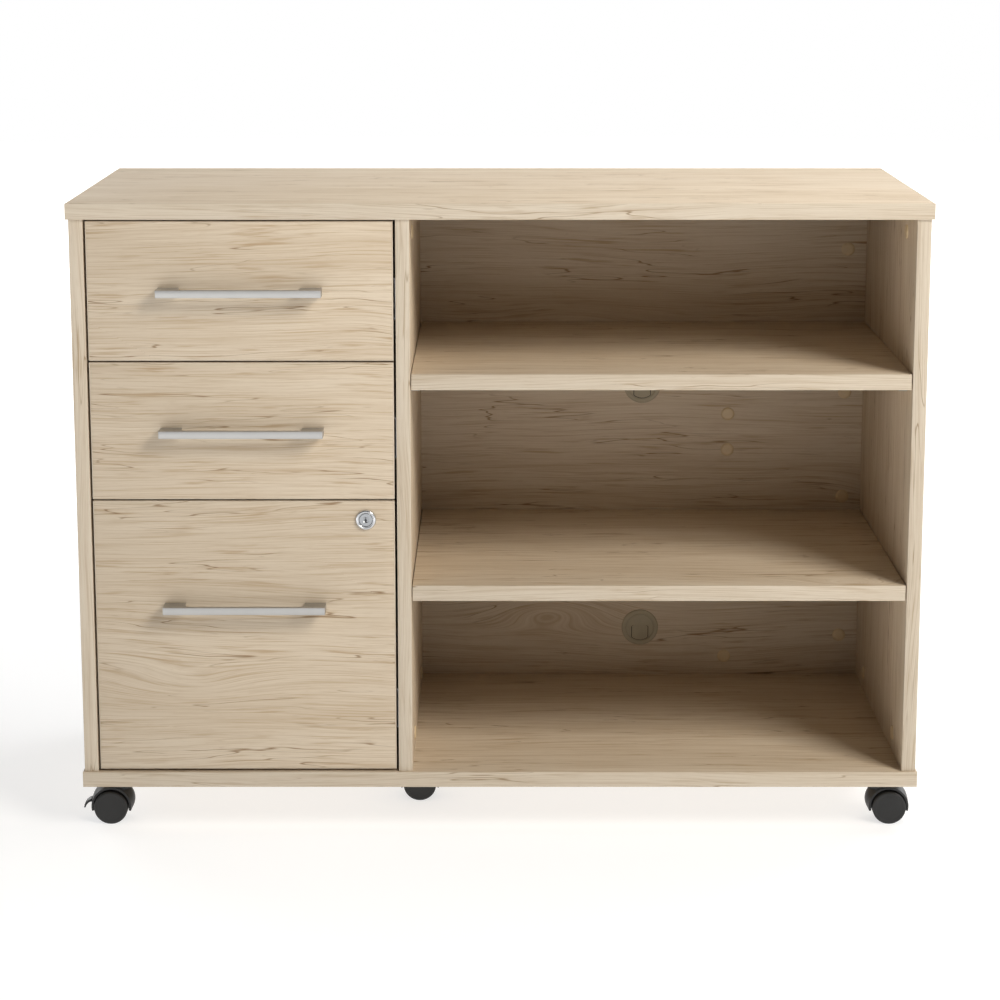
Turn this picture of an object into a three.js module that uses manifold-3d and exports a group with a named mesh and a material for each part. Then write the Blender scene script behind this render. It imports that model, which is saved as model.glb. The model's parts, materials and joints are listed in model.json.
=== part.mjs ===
// A rolling pedestal cabinet: three drawers on the left, an open bay with two shelves on the right,
// five twin-wheel casters below. Millimetres, +X to the right, +Y to the back, +Z up.
// Depths are counted from the front edges of the side panels. The group that holds everything is then
// moved so that the origin lies on the floor, in the middle of the cabinet's overall box.
import * as THREE from "three";
import { mergeVertices } from "three/addons/utils/BufferGeometryUtils.js";
import Module from "manifold-3d";

const wasm = await Module();
wasm.setup();

// Carcass
const TOP_WIDTH = 914;
const BOTTOM_WIDTH = 912;
const BODY_WIDTH = 908;
const OVERALL_HEIGHT = 695;
const CASTER_HEIGHT = 55;
const HORIZONTAL_BOARD = 17;
const VERTICAL_BOARD = 15;
const FRONT_OVERHANG = 3;
const SIDE_DEPTH = 389;
const REAR_OVERHANG = 3;
const BACK_PANEL_FRONT = 369;
const DIVIDER_LEFT = -110.5;
const SHELVES = { upper_shelf: 495.5, lower_shelf: 264 };
const SHELF_SIDE_GAP = 1;
const SHELF_SETBACK = 1;
const SHELF_REAR_GAP = 2;

// Drawers: the bottom edge and height of the front, the height of the box behind it, and how far the
// handle lies below the front's top edge
const DRAWERS = [
  { name: "upper", bottom: 527.5, height: 148.5, boxHeight: 110, handleDrop: 74.25 },
  { name: "middle", bottom: 377, height: 148.5, boxHeight: 110, handleDrop: 74.25 },
  { name: "file", bottom: 75, height: 300, boxHeight: 228, handleDrop: 116.5 },
];
const FRONT_SIDE_GAP = 2.5;
const BOX_LIFT = 12;
const BOX_BOARD = 12;
const BOX_DEPTH = 335;
const BOX_BOTTOM = 3;

// Drawer slides, 13 mm wide between panel and drawer side
const SLIDE_WIDTH = 13;
const SLIDE_LENGTH = 345;
const SLIDE_FRONT = 16.5;
const SLIDE_HEIGHT_IN_BOX = 52;
const SLIDE_WALL = 1.2;
const CABINET_MEMBER = { height: 44, from: 0, to: 9.5, web: 0 };
const MIDDLE_MEMBER = { height: 35, from: 2.6, to: 11, web: 2.6 };
const DRAWER_MEMBER = { height: 27, from: 5, to: SLIDE_WIDTH, web: SLIDE_WIDTH - SLIDE_WALL };

// Handles
const HANDLE_LENGTH = 174;
const HANDLE_HEIGHT = 8;
const HANDLE_PROJECTION = 22;
const HANDLE_BAR = 6;
const HANDLE_FOOT = 23;

// Cam lock
const LOCK_X = -144;
const LOCK_Z = 354.5;
const LOCK_HOLE_RADIUS = 8.6;
const LOCK_CLEARANCE = 0.3;
const LOCK_RING = { inner: 8.4, face: 10.4, outer: 11.25, front: -3.2, shoulder: -1.6 };
const LOCK_BARREL_END = 16.5;
const LOCK_PLUG_RADIUS = 7.1;
const LOCK_PLUG_FACE = -2;
const LOCK_PLUG_END = 17.5;
const KEYHOLE = { width: 1.6, height: 6.4, depth: 9 };
const CAM_FRONT = 17.8;
const CAM_THICKNESS = 2.5;
const CAM_RADIUS = 6;
const CAM_REACH = 38;
const MORTISE = { depth: 8, front: 14, back: 24, below: 20, above: 7.5 };

// Cable grommets in the back panel
const GROMMET_X = 172;
const GROMMETS = { upper: 435, lower: 132 };
const GROMMET_HOLE_RADIUS = 19.2;
const GROMMET_CAP_RADIUS = 17;
const GROMMET_FLANGE = { inner: 17.4, face: 21.6, outer: 22.25, front: -1.8, shoulder: -1 };
const GROMMET_TUBE = { outer: 19, inner: 17.2 };
const TAB_HALF_WIDTH = 10.5;
const TAB_TOP = 2.6;
const TAB_RADIUS = 16.6;
const TAB_GAP = 0.35;
const TAB_FRONT = -1.4;
const TAB_THICKNESS = 1.5;

// Casters
const CORNER_SWIVEL_X = 420;
const FRONT_SWIVEL_Y = 49;
const REAR_SWIVEL_Y = 340;
const MIDDLE_SWIVEL = { x: DIVIDER_LEFT + VERTICAL_BOARD / 2 - 0.3, y: 127 };
const CASTER_TRAIL = 12;
const WHEEL_RADIUS = 18.5;
const WHEEL_INNER_FACE = 3;
const WHEEL_OUTER_FACE = 18;
const WHEEL_EDGE = 1.2;
const WHEEL_SIDES = 24;
const AXLE_RADIUS = 3;
const AXLE_HALF_LENGTH = 16.4;
const AXLE_CLEARANCE = 0.3;
const HOOD_OUTER_RADIUS = 22.2;
const HOOD_INNER_RADIUS = 19.6;
const HOOD_WIDTH = 26;
const HOOD_TIP_DROP = 4.9;
const HOOD_WEB = 4.8;
const HOOD_BOSS_RADIUS = 5.5;
const HOOD_SIDES = 16;
const NECK_TOP_RADIUS = 7;
const NECK_BASE_RADIUS = 10;
const NECK_BASE_Z = 14;
const NECK_TOP_GAP = 0.3;
const BRAKE_PIVOT = { x: 13, z: 1 };
const BRAKE_PIN_RADIUS = 1.2;
const BRAKE_EYE_RADIUS = 3;
const BRAKE_EYE_HOLE = 1.5;
const BRAKE_ARM = 2.4;
const BRAKE_SLOT = { width: 3.2, from: 8, to: 30, bottom: -8, top: 9 };
const BRAKE_ARM_END = { x: 24.5, low: 2, high: 6 };
const BRAKE_PEDAL_WIDTH = 12;
const BRAKE_PEDAL = {
  root: { x: 23.2, low: 3.2, high: 6.6 },
  lowerBend: [27.8, 2.6],
  upperBend: [29.5, 5.5],
  innerTip: [30.4, -3.9],
  outerTip: [31.7, -3.2],
};

const ROUND_SIDES = 24;

const laminate = new THREE.MeshStandardMaterial({ color: 0xcdbca0, roughness: 0.55, metalness: 0 });
const drawerBoard = new THREE.MeshStandardMaterial({ color: 0xd8cdb8, roughness: 0.6, metalness: 0 });
const nickel = new THREE.MeshStandardMaterial({ color: 0xc9c6c0, roughness: 0.35, metalness: 1 });
const chrome = new THREE.MeshStandardMaterial({ color: 0xd6d8da, roughness: 0.1, metalness: 1 });
const zinc = new THREE.MeshStandardMaterial({ color: 0xb9bcbf, roughness: 0.4, metalness: 1 });
const blackPlastic = new THREE.MeshStandardMaterial({ color: 0x2c2c2c, roughness: 0.5, metalness: 0 });
const olivePlastic = new THREE.MeshStandardMaterial({ color: 0x9a8c72, roughness: 0.6, metalness: 0 });

function part(name, geometry, material) {
  const mesh = new THREE.Mesh(geometry, material.clone());
  mesh.name = name;
  return mesh;
}

// A block between two corners.
function block([x0, x1], [y0, y1], [z0, z1]) {
  const geometry = new THREE.BoxGeometry(x1 - x0, y1 - y0, z1 - z0);
  return geometry.translate((x0 + x1) / 2, (y0 + y1) / 2, (z0 + z1) / 2);
}

// A round bar along Y.
function rod(radius, y0, y1, x = 0, z = 0) {
  const geometry = new THREE.CylinderGeometry(radius, radius, y1 - y0, ROUND_SIDES);
  return geometry.translate(x, (y0 + y1) / 2, z);
}

// A flat outline, drawn in X and Z, made into a plate between two depths.
function plate(shape, y0, y1, curveSegments = 12) {
  const geometry = new THREE.ExtrudeGeometry(shape, { depth: y1 - y0, bevelEnabled: false, curveSegments });
  return geometry.rotateX(Math.PI / 2).translate(0, y1, 0);
}

// A body turned about the Y axis from pairs of radius and depth.
function turned(profile, sides, startAngle = 0) {
  const points = profile.map(([radius, y]) => new THREE.Vector2(radius, y));
  return new THREE.LatheGeometry(points, sides, startAngle);
}

function toSolid(geometry) {
  const bare = geometry.clone();
  bare.deleteAttribute("normal");
  bare.deleteAttribute("uv");
  const merged = mergeVertices(bare);
  const vertProperties = merged.attributes.position.array;
  const triVerts = new Uint32Array(merged.index.array);
  return new wasm.Manifold(new wasm.Mesh({ numProp: 3, vertProperties, triVerts }));
}

function toGeometry(solid) {
  const { vertProperties, triVerts } = solid.getMesh();
  const geometry = new THREE.BufferGeometry();
  geometry.setAttribute("position", new THREE.BufferAttribute(vertProperties, 3));
  geometry.setIndex(new THREE.BufferAttribute(triVerts, 1));
  return geometry;
}

function cut(geometry, ...tools) {
  const start = toSolid(geometry);
  return toGeometry(tools.reduce((solid, tool) => solid.subtract(toSolid(tool)), start));
}

function join(first, ...others) {
  const start = toSolid(first);
  return toGeometry(others.reduce((solid, other) => solid.add(toSolid(other)), start));
}

const TOP_UNDERSIDE = OVERALL_HEIGHT - HORIZONTAL_BOARD;
const FLOOR_PANEL_TOP = CASTER_HEIGHT + HORIZONTAL_BOARD;
const PANEL_HEIGHTS = [FLOOR_PANEL_TOP, TOP_UNDERSIDE];
const INNER_SIDE = BODY_WIDTH / 2 - VERTICAL_BOARD;
const DIVIDER_RIGHT = DIVIDER_LEFT + VERTICAL_BOARD;
const PANEL_BACK = SIDE_DEPTH + REAR_OVERHANG;

function carcass() {
  const group = new THREE.Group();
  const overhung = [-FRONT_OVERHANG, PANEL_BACK];
  const backBoard = [BACK_PANEL_FRONT, BACK_PANEL_FRONT + VERTICAL_BOARD];
  const centred = (width) => [-width / 2, width / 2];
  const add = (name, geometry) => group.add(part(name, geometry, laminate));

  add("top_panel", block(centred(TOP_WIDTH), overhung, [TOP_UNDERSIDE, OVERALL_HEIGHT]));
  add("bottom_panel", block(centred(BOTTOM_WIDTH), overhung, [CASTER_HEIGHT, FLOOR_PANEL_TOP]));
  add("left_side_panel", block([-BODY_WIDTH / 2, -INNER_SIDE], [0, SIDE_DEPTH], PANEL_HEIGHTS));
  add("right_side_panel", block([INNER_SIDE, BODY_WIDTH / 2], [0, SIDE_DEPTH], PANEL_HEIGHTS));

  const divider = block([DIVIDER_LEFT, DIVIDER_RIGHT], [0, BACK_PANEL_FRONT], PANEL_HEIGHTS);
  const mortise = block(
    [DIVIDER_LEFT - 1, DIVIDER_LEFT + MORTISE.depth],
    [MORTISE.front, MORTISE.back],
    [LOCK_Z - MORTISE.below, LOCK_Z + MORTISE.above],
  );
  add("divider_panel", cut(divider, mortise));

  const back = block([-INNER_SIDE, INNER_SIDE], backBoard, PANEL_HEIGHTS);
  const holes = Object.values(GROMMETS).map((z) =>
    rod(GROMMET_HOLE_RADIUS, backBoard[0] - 1, backBoard[1] + 1, GROMMET_X, z),
  );
  add("back_panel", cut(back, ...holes));

  for (const [name, bottom] of Object.entries(SHELVES)) {
    const across = [DIVIDER_RIGHT + SHELF_SIDE_GAP, INNER_SIDE - SHELF_SIDE_GAP];
    const deep = [SHELF_SETBACK, BACK_PANEL_FRONT - SHELF_REAR_GAP];
    add(name, block(across, deep, [bottom, bottom + HORIZONTAL_BOARD]));
  }
  return group;
}

// The tab of a grommet: straight sides, a level top and a foot that follows a circle.
function tabOutline(inset) {
  const halfWidth = TAB_HALF_WIDTH - inset;
  const radius = TAB_RADIUS - inset;
  const corner = Math.acos(halfWidth / radius);
  const shape = new THREE.Shape();
  shape.moveTo(halfWidth, TAB_TOP - inset);
  shape.lineTo(-halfWidth, TAB_TOP - inset);
  shape.absarc(0, 0, radius, Math.PI + corner, 2 * Math.PI - corner, false);
  return shape;
}

function grommet(name, height) {
  const group = new THREE.Group();
  group.position.set(GROMMET_X, BACK_PANEL_FRONT, height);
  const tabBack = TAB_FRONT + TAB_THICKNESS;
  const profile = [
    [0, TAB_FRONT],
    [GROMMET_CAP_RADIUS, TAB_FRONT],
    [GROMMET_FLANGE.inner, GROMMET_FLANGE.front],
    [GROMMET_FLANGE.face, GROMMET_FLANGE.front],
    [GROMMET_FLANGE.outer, GROMMET_FLANGE.shoulder],
    [GROMMET_FLANGE.outer, 0],
    [GROMMET_TUBE.outer, 0],
    [GROMMET_TUBE.outer, VERTICAL_BOARD],
    [GROMMET_TUBE.inner, VERTICAL_BOARD],
    [GROMMET_TUBE.inner, tabBack],
    [0, tabBack],
  ];
  const window = plate(tabOutline(0), TAB_FRONT - 1, tabBack + 1);
  group.add(part(`${name}_grommet_sleeve`, cut(turned(profile, ROUND_SIDES), window), olivePlastic));
  const flap = plate(tabOutline(TAB_GAP), TAB_FRONT, tabBack);
  group.add(part(`${name}_grommet_flap`, flap, olivePlastic));
  return group;
}

// A channel lying along the drawer's travel. Distances across are counted from the panel, towards
// +X where side is 1 and towards -X where it is -1.
function slideMember(member, panelX, side, height) {
  const across = (from, to) => [panelX + side * from, panelX + side * to].sort((a, b) => a - b);
  const deep = [SLIDE_FRONT, SLIDE_FRONT + SLIDE_LENGTH];
  const half = member.height / 2;
  const web = block(across(member.web, member.web + SLIDE_WALL), deep, [height - half, height + half]);
  const flanges = [-half, half - SLIDE_WALL].map((z) =>
    block(across(member.from, member.to), deep, [height + z, height + z + SLIDE_WALL]),
  );
  return join(web, ...flanges);
}

function handle(name, height) {
  const half = HANDLE_LENGTH / 2;
  const grip = half - HANDLE_FOOT;
  const shape = new THREE.Shape();
  shape.moveTo(-half, 0);
  shape.lineTo(-half, -HANDLE_PROJECTION);
  shape.lineTo(half, -HANDLE_PROJECTION);
  shape.lineTo(half, 0);
  shape.lineTo(grip, 0);
  shape.lineTo(grip, HANDLE_BAR - HANDLE_PROJECTION);
  shape.lineTo(-grip, HANDLE_BAR - HANDLE_PROJECTION);
  shape.lineTo(-grip, 0);
  const geometry = new THREE.ExtrudeGeometry(shape, { depth: HANDLE_HEIGHT, bevelEnabled: false });
  const mesh = part(`${name}_drawer_handle`, geometry, nickel);
  mesh.position.set((DIVIDER_LEFT - INNER_SIDE) / 2, 0, height - HANDLE_HEIGHT / 2);
  return mesh;
}

function lock() {
  const group = new THREE.Group();
  group.position.set(LOCK_X, 0, LOCK_Z);
  const bore = LOCK_PLUG_RADIUS + LOCK_CLEARANCE;
  const barrel = LOCK_HOLE_RADIUS - LOCK_CLEARANCE;
  const profile = [
    [bore, LOCK_RING.shoulder],
    [LOCK_RING.inner, LOCK_RING.front],
    [LOCK_RING.face, LOCK_RING.front],
    [LOCK_RING.outer, LOCK_RING.shoulder],
    [LOCK_RING.outer, 0],
    [barrel, 0],
    [barrel, LOCK_BARREL_END],
    [bore, LOCK_BARREL_END],
    [bore, LOCK_RING.shoulder],
  ];
  group.add(part("lock_housing", turned(profile, ROUND_SIDES), chrome));

  const keyhole = block(
    [-KEYHOLE.width / 2, KEYHOLE.width / 2],
    [LOCK_PLUG_FACE - 1, LOCK_PLUG_FACE + KEYHOLE.depth],
    [-KEYHOLE.height / 2, KEYHOLE.height / 2],
  );
  group.add(part("lock_plug", cut(rod(LOCK_PLUG_RADIUS, LOCK_PLUG_FACE, LOCK_PLUG_END), keyhole), chrome));

  const camEnd = CAM_RADIUS - CAM_REACH;
  const cam = new THREE.Shape();
  cam.absarc(0, 0, CAM_RADIUS, 0, Math.PI, false);
  cam.absarc(0, camEnd, CAM_RADIUS, Math.PI, 2 * Math.PI, false);
  group.add(part("lock_cam", plate(cam, CAM_FRONT, CAM_FRONT + CAM_THICKNESS, 8), zinc));
  return group;
}

function drawer({ name, bottom, height, boxHeight, handleDrop }) {
  const group = new THREE.Group();
  const frontLeft = -INNER_SIDE + FRONT_SIDE_GAP;
  const frontRight = DIVIDER_LEFT - FRONT_SIDE_GAP;
  const boxLeft = -INNER_SIDE + SLIDE_WIDTH;
  const boxRight = DIVIDER_LEFT - SLIDE_WIDTH;
  const boxBack = VERTICAL_BOARD + BOX_DEPTH;
  const between = [boxLeft + BOX_BOARD, boxRight - BOX_BOARD];
  const boxFloor = bottom + BOX_LIFT;
  const heights = [boxFloor, boxFloor + boxHeight];
  const deep = [VERTICAL_BOARD, boxBack];
  const add = (piece, geometry, material) => group.add(part(`${name}_drawer_${piece}`, geometry, material));

  const front = block([frontLeft, frontRight], [0, VERTICAL_BOARD], [bottom, bottom + height]);
  const lockHole = rod(LOCK_HOLE_RADIUS, -1, VERTICAL_BOARD + 1, LOCK_X, LOCK_Z);
  add("front", name === "file" ? cut(front, lockHole) : front, laminate);
  group.add(handle(name, bottom + height - handleDrop));
  add("left_side", block([boxLeft, between[0]], deep, heights), drawerBoard);
  add("right_side", block([between[1], boxRight], deep, heights), drawerBoard);
  add("back", block(between, [boxBack - BOX_BOARD, boxBack], heights), drawerBoard);
  add("bottom", block([boxLeft, boxRight], deep, [boxFloor - BOX_BOTTOM, boxFloor]), drawerBoard);
  return group;
}

function drawerSlides({ name, bottom }) {
  const group = new THREE.Group();
  const height = bottom + BOX_LIFT + SLIDE_HEIGHT_IN_BOX;
  const members = { [`${name}_cabinet_rail`]: CABINET_MEMBER };
  if (name === "file") {
    members.file_middle_rail = MIDDLE_MEMBER;
    members.file_drawer_rail = DRAWER_MEMBER;
  }
  for (const [member, section] of Object.entries(members)) {
    group.add(part(`${member}_left`, slideMember(section, -INNER_SIDE, 1, height), zinc));
    group.add(part(`${member}_right`, slideMember(section, DIVIDER_LEFT, -1, height), zinc));
  }
  return group;
}

// A caster's hood, about the wheel axle: a half shell over both wheels, a web between them that carries
// the axle, and a neck above the swivel axis.
function casterHood(braked) {
  const tip = Math.asin(HOOD_TIP_DROP / HOOD_OUTER_RADIUS);
  const shellOutline = new THREE.Shape();
  shellOutline.absarc(0, 0, HOOD_OUTER_RADIUS, -tip, Math.PI + tip, false);
  shellOutline.absarc(0, 0, HOOD_INNER_RADIUS, Math.PI + tip, -tip, true);
  const shell = plate(shellOutline, -HOOD_WIDTH / 2, HOOD_WIDTH / 2, HOOD_SIDES);

  const neckTop = CASTER_HEIGHT - WHEEL_RADIUS - NECK_TOP_GAP;
  const neckLength = neckTop - NECK_BASE_Z;
  const neckBlank = new THREE.CylinderGeometry(NECK_TOP_RADIUS, NECK_BASE_RADIUS, neckLength, HOOD_SIDES);
  neckBlank.rotateX(Math.PI / 2).translate(-CASTER_TRAIL, 0, NECK_BASE_Z + neckLength / 2);
  const neck = cut(neckBlank, rod(HOOD_INNER_RADIUS, -HOOD_WIDTH, HOOD_WIDTH));

  const webOutline = new THREE.Shape();
  webOutline.absarc(0, 0, (HOOD_INNER_RADIUS + HOOD_OUTER_RADIUS) / 2, 0, Math.PI, false);
  const web = plate(webOutline, -HOOD_WEB / 2, HOOD_WEB / 2, HOOD_SIDES);
  const boss = rod(HOOD_BOSS_RADIUS, -HOOD_WEB / 2, HOOD_WEB / 2);
  const axle = rod(AXLE_RADIUS, -AXLE_HALF_LENGTH, AXLE_HALF_LENGTH);
  const hood = join(shell, neck, web, boss, axle);
  if (!braked) return hood;

  const slot = block(
    [BRAKE_SLOT.from, BRAKE_SLOT.to],
    [-BRAKE_SLOT.width / 2, BRAKE_SLOT.width / 2],
    [BRAKE_SLOT.bottom, BRAKE_SLOT.top],
  );
  const cheeks = rod(BRAKE_EYE_RADIUS, -HOOD_WEB / 2, HOOD_WEB / 2, BRAKE_PIVOT.x, BRAKE_PIVOT.z);
  const pin = rod(BRAKE_PIN_RADIUS, -HOOD_WEB / 2, HOOD_WEB / 2, BRAKE_PIVOT.x, BRAKE_PIVOT.z);
  return join(cut(join(hood, cheeks), slot), pin);
}

// The brake lever, about the wheel axle: an eye on the hood's pin, an arm that leaves through the
// hood's slot, and a pedal blade outside it that curves down.
function brakeLever() {
  const { x, z } = BRAKE_PIVOT;
  const eye = rod(BRAKE_EYE_RADIUS, -BRAKE_ARM / 2, BRAKE_ARM / 2, x, z);
  const armOutline = new THREE.Shape();
  armOutline.moveTo(x, z - BRAKE_EYE_RADIUS);
  armOutline.lineTo(BRAKE_ARM_END.x, BRAKE_ARM_END.low);
  armOutline.lineTo(BRAKE_ARM_END.x, BRAKE_ARM_END.high);
  armOutline.lineTo(x, z + BRAKE_EYE_RADIUS);
  const arm = plate(armOutline, -BRAKE_ARM / 2, BRAKE_ARM / 2);

  const { root, lowerBend, upperBend, innerTip, outerTip } = BRAKE_PEDAL;
  const pedalOutline = new THREE.Shape();
  pedalOutline.moveTo(root.x, root.low);
  pedalOutline.quadraticCurveTo(...lowerBend, ...innerTip);
  pedalOutline.lineTo(...outerTip);
  pedalOutline.quadraticCurveTo(...upperBend, root.x, root.high);
  const pedal = plate(pedalOutline, -BRAKE_PEDAL_WIDTH / 2, BRAKE_PEDAL_WIDTH / 2, 5);
  const lever = join(eye, arm, pedal);
  return cut(lever, rod(BRAKE_EYE_HOLE, -BRAKE_ARM, BRAKE_ARM, x, z));
}

// A wheel with a blind bore. Its flats are at the wheel's radius, and one of them lies on the floor.
function casterWheel() {
  const rim = WHEEL_RADIUS / Math.cos(Math.PI / WHEEL_SIDES);
  const bore = AXLE_RADIUS + AXLE_CLEARANCE;
  const boreEnd = AXLE_HALF_LENGTH + AXLE_CLEARANCE;
  const profile = [
    [0, boreEnd],
    [bore, boreEnd],
    [bore, WHEEL_INNER_FACE],
    [rim - WHEEL_EDGE, WHEEL_INNER_FACE],
    [rim, WHEEL_INNER_FACE + WHEEL_EDGE],
    [rim, WHEEL_OUTER_FACE - WHEEL_EDGE],
    [rim - WHEEL_EDGE, WHEEL_OUTER_FACE],
    [0, WHEEL_OUTER_FACE],
  ];
  return turned(profile, WHEEL_SIDES, Math.PI / WHEEL_SIDES);
}

// A caster whose wheels trail towards +X where trail is 1 and towards -X where it is -1.
function caster({ name, x, y, trail, braked }) {
  const group = new THREE.Group();
  group.position.set(x, y, WHEEL_RADIUS);
  group.rotation.z = trail > 0 ? 0 : Math.PI;
  const place = (mesh) => {
    mesh.position.x = CASTER_TRAIL;
    group.add(mesh);
    return mesh;
  };
  place(part(`${name}_caster_hood`, casterHood(braked), blackPlastic));
  const near = trail > 0 ? "aft" : "fore";
  const far = trail > 0 ? "fore" : "aft";
  place(part(`${name}_caster_${near}_wheel`, casterWheel(), blackPlastic));
  place(part(`${name}_caster_${far}_wheel`, casterWheel(), blackPlastic)).rotation.z = Math.PI;
  if (braked) place(part(`${name}_caster_brake`, brakeLever(), blackPlastic));
  return group;
}

const CASTERS = [
  { name: "front_left", x: -CORNER_SWIVEL_X, y: FRONT_SWIVEL_Y, trail: -1, braked: true },
  { name: "front_right", x: CORNER_SWIVEL_X, y: FRONT_SWIVEL_Y, trail: 1, braked: false },
  { name: "rear_left", x: -CORNER_SWIVEL_X, y: REAR_SWIVEL_Y, trail: -1, braked: false },
  { name: "rear_right", x: CORNER_SWIVEL_X, y: REAR_SWIVEL_Y, trail: 1, braked: true },
  { name: "middle", x: MIDDLE_SWIVEL.x, y: MIDDLE_SWIVEL.y, trail: 1, braked: false },
];

const cabinet = new THREE.Group();
cabinet.add(carcass());
for (const [name, height] of Object.entries(GROMMETS)) cabinet.add(grommet(name, height));
for (const each of DRAWERS) cabinet.add(drawer(each), drawerSlides(each));
cabinet.add(lock());
for (const each of CASTERS) cabinet.add(caster(each));
cabinet.position.y = (HANDLE_PROJECTION - PANEL_BACK) / 2;

const root = new THREE.Group();
root.add(cabinet);
export default root;
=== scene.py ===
"""The looks of a rolling pedestal cabinet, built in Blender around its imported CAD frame.

Metres, in the frame's axes: +X to the right, +Y to the back, +Z up, with the origin on the floor.
Places come from the boxes of the CAD nodes. Sizes that only the looks need are named below.
"""

import json
import math

import bmesh
import bpy
from mathutils import Matrix, Vector


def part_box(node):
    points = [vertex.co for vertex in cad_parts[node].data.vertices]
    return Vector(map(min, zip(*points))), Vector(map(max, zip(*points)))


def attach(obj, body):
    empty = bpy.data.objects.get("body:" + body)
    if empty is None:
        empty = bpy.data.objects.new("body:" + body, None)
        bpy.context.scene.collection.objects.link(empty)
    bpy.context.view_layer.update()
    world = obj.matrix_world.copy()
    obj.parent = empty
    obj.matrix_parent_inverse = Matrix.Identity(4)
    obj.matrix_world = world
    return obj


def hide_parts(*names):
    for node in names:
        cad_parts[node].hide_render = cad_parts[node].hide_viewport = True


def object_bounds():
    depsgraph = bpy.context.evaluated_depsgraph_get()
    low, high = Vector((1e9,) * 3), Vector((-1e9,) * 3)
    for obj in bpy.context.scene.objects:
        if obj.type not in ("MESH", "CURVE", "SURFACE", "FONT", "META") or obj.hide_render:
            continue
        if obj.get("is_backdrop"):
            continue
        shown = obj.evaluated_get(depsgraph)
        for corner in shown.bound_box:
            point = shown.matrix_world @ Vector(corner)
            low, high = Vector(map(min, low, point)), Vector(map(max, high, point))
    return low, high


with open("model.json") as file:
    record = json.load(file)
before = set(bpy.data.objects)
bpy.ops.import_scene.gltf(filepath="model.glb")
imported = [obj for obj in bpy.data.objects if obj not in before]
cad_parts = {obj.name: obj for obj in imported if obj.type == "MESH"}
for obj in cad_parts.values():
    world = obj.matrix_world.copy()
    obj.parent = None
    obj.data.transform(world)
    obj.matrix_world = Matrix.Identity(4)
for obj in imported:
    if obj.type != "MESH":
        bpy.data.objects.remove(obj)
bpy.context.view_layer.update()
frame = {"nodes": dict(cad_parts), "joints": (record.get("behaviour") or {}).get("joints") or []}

MM = 0.001
X, Y, Z = 0, 1, 2
GRAIN_MAP = "grain"
DRAWERS = ("upper", "middle", "file")
GROMMETS = ("upper", "lower")
CASTERS = ("front_left", "front_right", "rear_left", "rear_right", "middle")
BRAKED = ("front_left", "rear_right")

# Boards
EDGE_BAND = 1.0 * MM
BAND_JOINT = 0.04 * MM
BAND_ROUNDING = 0.45 * MM
BOARD_ROUNDING = 0.12 * MM

# Round pieces
FINE_SEGMENTS = 96
SEGMENTS = 48
SMALL_SEGMENTS = 24
SMOOTH_ANGLE = math.radians(32)


# ------------------------------------------------------------------ materials


class Graph:
    """A material and short calls for the nodes that it is made of."""

    def __init__(self, name, roughness, metallic=0.0):
        self.material = bpy.data.materials.new(name)
        self.material.use_nodes = True
        self.tree = self.material.node_tree
        self.shader = self.tree.nodes["Principled BSDF"]
        self.shader.inputs["Roughness"].default_value = roughness
        self.shader.inputs["Metallic"].default_value = metallic

    def plug(self, socket, value):
        if isinstance(value, bpy.types.NodeSocket):
            self.tree.links.new(value, socket)
        else:
            socket.default_value = value

    def node(self, kind, **settings):
        made = self.tree.nodes.new(kind)
        for key, value in settings.items():
            setattr(made, key, value)
        return made

    def math(self, operation, a, b=0.0, clamp=False):
        made = self.node("ShaderNodeMath", operation=operation, use_clamp=clamp)
        self.plug(made.inputs[0], a)
        self.plug(made.inputs[1], b)
        return made.outputs[0]

    def vector(self, x=0.0, y=0.0, z=0.0):
        made = self.node("ShaderNodeCombineXYZ")
        for socket, value in zip(made.inputs, (x, y, z)):
            self.plug(socket, value)
        return made.outputs[0]

    def parts(self, vector):
        made = self.node("ShaderNodeSeparateXYZ")
        self.plug(made.inputs[0], vector)
        return made.outputs[:3]

    def noise(self, vector, scale=1.0, detail=2.0, roughness=0.5):
        made = self.node("ShaderNodeTexNoise", noise_dimensions="3D")
        self.plug(made.inputs["Vector"], vector)
        made.inputs["Scale"].default_value = scale
        made.inputs["Detail"].default_value = detail
        made.inputs["Roughness"].default_value = roughness
        return made.outputs["Fac"]

    def ramp(self, value, low, high, bottom=0.0, top=1.0):
        """Value from low to high becomes bottom to top, with a smooth start and end."""
        made = self.node("ShaderNodeMapRange", interpolation_type="SMOOTHSTEP")
        for key, number in zip((1, 2, 3, 4), (low, high, bottom, top)):
            made.inputs[key].default_value = number
        self.plug(made.inputs[0], value)
        return made.outputs[0]

    def mix(self, share, a, b, blend="MIX"):
        made = self.node("ShaderNodeMix", data_type="RGBA", blend_type=blend)
        self.plug(made.inputs["Factor"], share)
        self.plug(made.inputs[6], a)
        self.plug(made.inputs[7], b)
        return made.outputs[2]

    def bump(self, height, distance, strength=1.0):
        made = self.node("ShaderNodeBump")
        made.inputs["Distance"].default_value = distance
        made.inputs["Strength"].default_value = strength
        self.plug(made.inputs["Height"], height)
        self.plug(self.shader.inputs["Normal"], made.outputs[0])

    def own_place(self):
        """The point on the piece itself, in metres, which moves with it."""
        return self.node("ShaderNodeTexCoord").outputs["Object"]


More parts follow.
